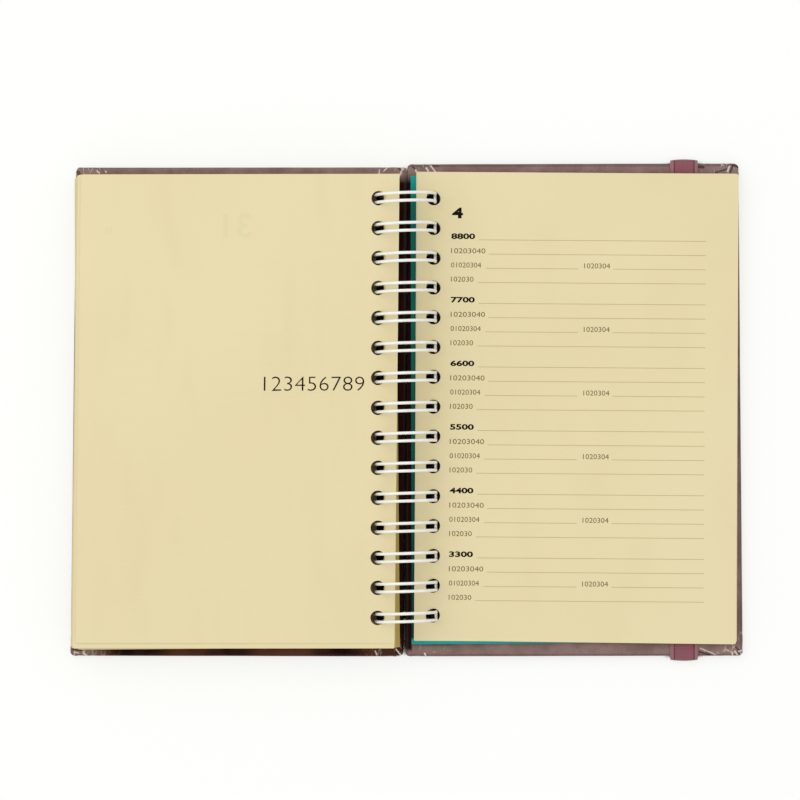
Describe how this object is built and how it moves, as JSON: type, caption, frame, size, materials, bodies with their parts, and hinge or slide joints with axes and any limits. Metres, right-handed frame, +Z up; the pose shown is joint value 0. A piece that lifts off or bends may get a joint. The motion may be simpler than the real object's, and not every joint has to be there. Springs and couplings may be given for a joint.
{
  "type": "dated planner",
  "caption": "Twin-loop wire-bound hard-cover dated planner lying open near its back, with dated leaf sections, a contacts section and an elastic closure.",
  "frame": {"origin": "centre of the open planner's outline on the table that it lies on", "axes": "+X from the front cover across the spine to the back cover, +Y along the spine from tail to head, +Z up from the table"},
  "size_m": [0.2853, 0.2124, 0.027],
  "materials": {
    "laminate": "printed paper under a glossy film, creased and chipped at the corners",
    "greyboard": "raw grey board",
    "lining": "dark smooth endpaper",
    "cream_paper": "uncoated cream paper",
    "teal_paper": "smooth coloured paper",
    "wire": "bright coated binding wire",
    "elastic": "flat woven elastic with ribbed edges",
    "tab_card": "pressed card"
  },
  "bodies": {
    "back_cover": {"back_cover_wrap": "laminate", "back_cover_board": "greyboard", "back_cover_lining": "lining", "elastic_anchor_head": "tab_card", "elastic_anchor_tail": "tab_card", "elastic_band": "elastic", "twin_loop_wire": "wire"},
    "front_cover": {"front_cover_wrap": "laminate", "front_cover_board": "greyboard", "front_cover_lining": "lining"},
    "first_half_year": {"opening_leaves": "cream_paper", "january_leaves": "cream_paper", "february_leaves": "cream_paper", "march_leaves": "cream_paper", "april_leaves": "cream_paper", "may_leaves": "cream_paper", "june_leaves": "cream_paper"},
    "second_half_year": {"july_leaves": "cream_paper", "august_leaves": "cream_paper", "september_leaves": "cream_paper", "october_leaves": "cream_paper", "november_leaves": "cream_paper", "december_leaves": "cream_paper"},
    "title_leaf": {"section_title_leaf": "cream_paper"},
    "back_leaves": {"teal_sheet": "teal_paper", "contacts_leaves": "cream_paper"},
    "top_contacts_leaf": {"contacts_leaf": "cream_paper"}
  },
  "joints": [
    {"name": "front_cover_turn", "type": "hinge", "parent": "back_cover", "child": "front_cover", "pos_m": [0, 0, 0.01347], "axis": [0, 1, 0], "range_deg": [0, 181.2]},
    {"name": "first_half_year_turn", "type": "hinge", "parent": "front_cover", "child": "first_half_year", "pos_m": [0, 0, 0.01347], "axis": [0, 1, 0], "range_deg": [0, 179]},
    {"name": "second_half_year_turn", "type": "hinge", "parent": "first_half_year", "child": "second_half_year", "pos_m": [0, 0, 0.01347], "axis": [0, 1, 0], "range_deg": [0, 181]},
    {"name": "title_leaf_turn", "type": "hinge", "parent": "second_half_year", "child": "title_leaf", "pos_m": [0, 0, 0.01347], "axis": [0, 1, 0], "range_deg": [0, 178]},
    {"name": "back_leaves_turn", "type": "hinge", "parent": "back_cover", "child": "back_leaves", "pos_m": [0, 0, 0.01347], "axis": [0, 1, 0], "range_deg": [-181.2, 0]},
    {"name": "top_contacts_leaf_turn", "type": "hinge", "parent": "back_leaves", "child": "top_contacts_leaf", "pos_m": [0, 0, 0.01347], "axis": [0, 1, 0], "range_deg": [-179, 0]}
  ]
}
